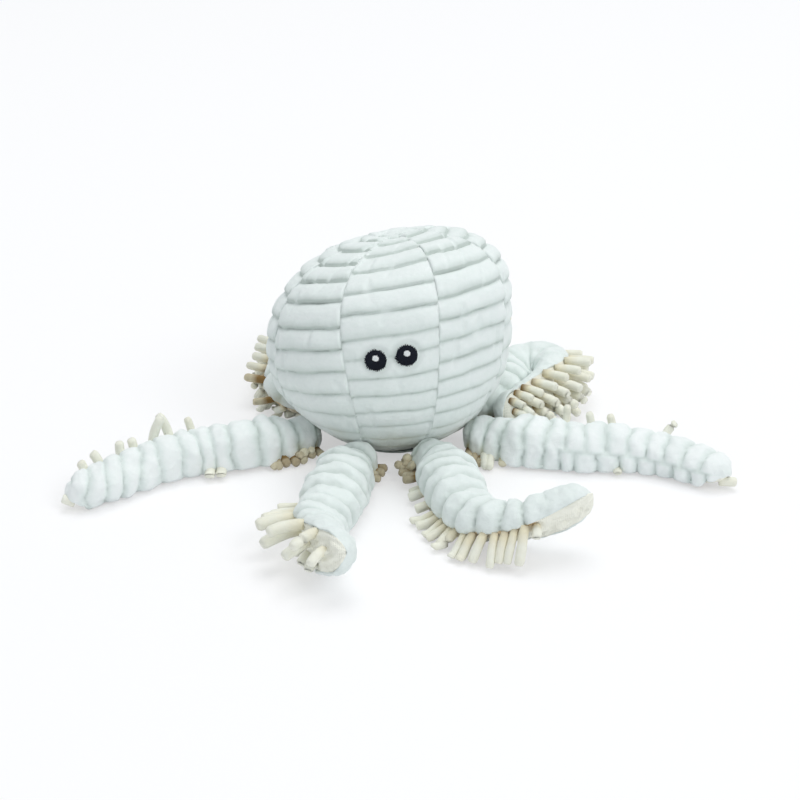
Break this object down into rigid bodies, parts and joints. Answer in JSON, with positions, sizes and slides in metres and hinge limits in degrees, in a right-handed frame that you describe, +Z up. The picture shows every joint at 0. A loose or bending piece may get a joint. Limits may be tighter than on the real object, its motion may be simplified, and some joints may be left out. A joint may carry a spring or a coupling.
{
  "type": "plush octopus",
  "caption": "White ribbed plush octopus lying on spread stuffed arms with cream chenille noodle fringes underneath and embroidered eyes.",
  "frame": {"origin": "middle of the base panel's underside, on the surface that the toy rests on", "axes": "+Z up, -Y the way the face looks, +X to the right for someone who looks at the face"},
  "size_m": [0.3471, 0.3698, 0.1176],
  "materials": {
    "plush_white": "wide ribbed short pile plush, matt",
    "chenille_cream": "thick chenille noodles, matt",
    "thread_black": "satin stitched embroidery, slight sheen",
    "thread_white": "satin stitched embroidery, slight sheen",
    "stuffing": "loose polyester filling"
  },
  "bodies": {
    "head": {"head_gore_1": "plush_white", "head_gore_2": "plush_white", "head_gore_3": "plush_white", "head_gore_4": "plush_white", "head_gore_5": "plush_white", "head_gore_6": "plush_white", "head_gore_7": "plush_white", "head_gore_8": "plush_white", "head_stuffing": "stuffing", "base_panel": "plush_white", "eye_left": "thread_black", "eye_right": "thread_black", "eye_highlight_left": "thread_white", "eye_highlight_right": "thread_white"},
    "arm_front_right": {"arm_sleeve_front_right": "plush_white", "arm_filling_front_right": "stuffing", "arm_fringe_front_right": "chenille_cream"},
    "arm_side_right": {"arm_sleeve_side_right": "plush_white", "arm_filling_side_right": "stuffing", "arm_fringe_side_right": "chenille_cream"},
    "arm_back_right": {"arm_sleeve_back_right": "plush_white", "arm_filling_back_right": "stuffing", "arm_fringe_back_right": "chenille_cream"},
    "arm_rear_right": {"arm_sleeve_rear_right": "plush_white", "arm_filling_rear_right": "stuffing", "arm_fringe_rear_right": "chenille_cream"},
    "arm_rear_left": {"arm_sleeve_rear_left": "plush_white", "arm_filling_rear_left": "stuffing", "arm_fringe_rear_left": "chenille_cream"},
    "arm_back_left": {"arm_sleeve_back_left": "plush_white", "arm_filling_back_left": "stuffing", "arm_fringe_back_left": "chenille_cream"},
    "arm_side_left": {"arm_sleeve_side_left": "plush_white", "arm_filling_side_left": "stuffing", "arm_fringe_side_left": "chenille_cream"},
    "arm_front_left": {"arm_sleeve_front_left": "plush_white", "arm_filling_front_left": "stuffing", "arm_fringe_front_left": "chenille_cream"}
  },
  "joints": [
    {"name": "arm_front_right_flop", "type": "hinge", "parent": "head", "child": "arm_front_right", "pos_m": [0.01966, -0.04747, 0.0095], "axis": [-0.9239, -0.3827, 0], "range_deg": [-45, 40]},
    {"name": "arm_side_right_flop", "type": "hinge", "parent": "head", "child": "arm_side_right", "pos_m": [0.04742, -0.01964, 0.0095], "axis": [-0.3827, -0.9239, 0], "range_deg": [-45, 35]},
    {"name": "arm_back_right_flop", "type": "hinge", "parent": "head", "child": "arm_back_right", "pos_m": [0.04795, 0.01986, 0.0095], "axis": [0.3827, -0.9239, 0], "range_deg": [-45, 30]},
    {"name": "arm_rear_right_flop", "type": "hinge", "parent": "head", "child": "arm_rear_right", "pos_m": [0.0205, 0.0495, 0.0095], "axis": [0.9239, -0.3827, 0], "range_deg": [-35, 30]},
    {"name": "arm_rear_left_flop", "type": "hinge", "parent": "head", "child": "arm_rear_left", "pos_m": [-0.0215, 0.0519, 0.0095], "axis": [0.9239, 0.3827, 0], "range_deg": [-35, 30]},
    {"name": "arm_back_left_flop", "type": "hinge", "parent": "head", "child": "arm_back_left", "pos_m": [-0.05294, 0.02193, 0.0095], "axis": [0.3827, 0.9239, 0], "range_deg": [-60, 15]},
    {"name": "arm_side_left_flop", "type": "hinge", "parent": "head", "child": "arm_side_left", "pos_m": [-0.05002, -0.02072, 0.0095], "axis": [-0.3827, 0.9239, 0], "range_deg": [-60, 30]},
    {"name": "arm_front_left_flop", "type": "hinge", "parent": "head", "child": "arm_front_left", "pos_m": [-0.02032, -0.04905, 0.0095], "axis": [-0.9239, 0.3827, 0], "range_deg": [-45, 40]}
  ]
}
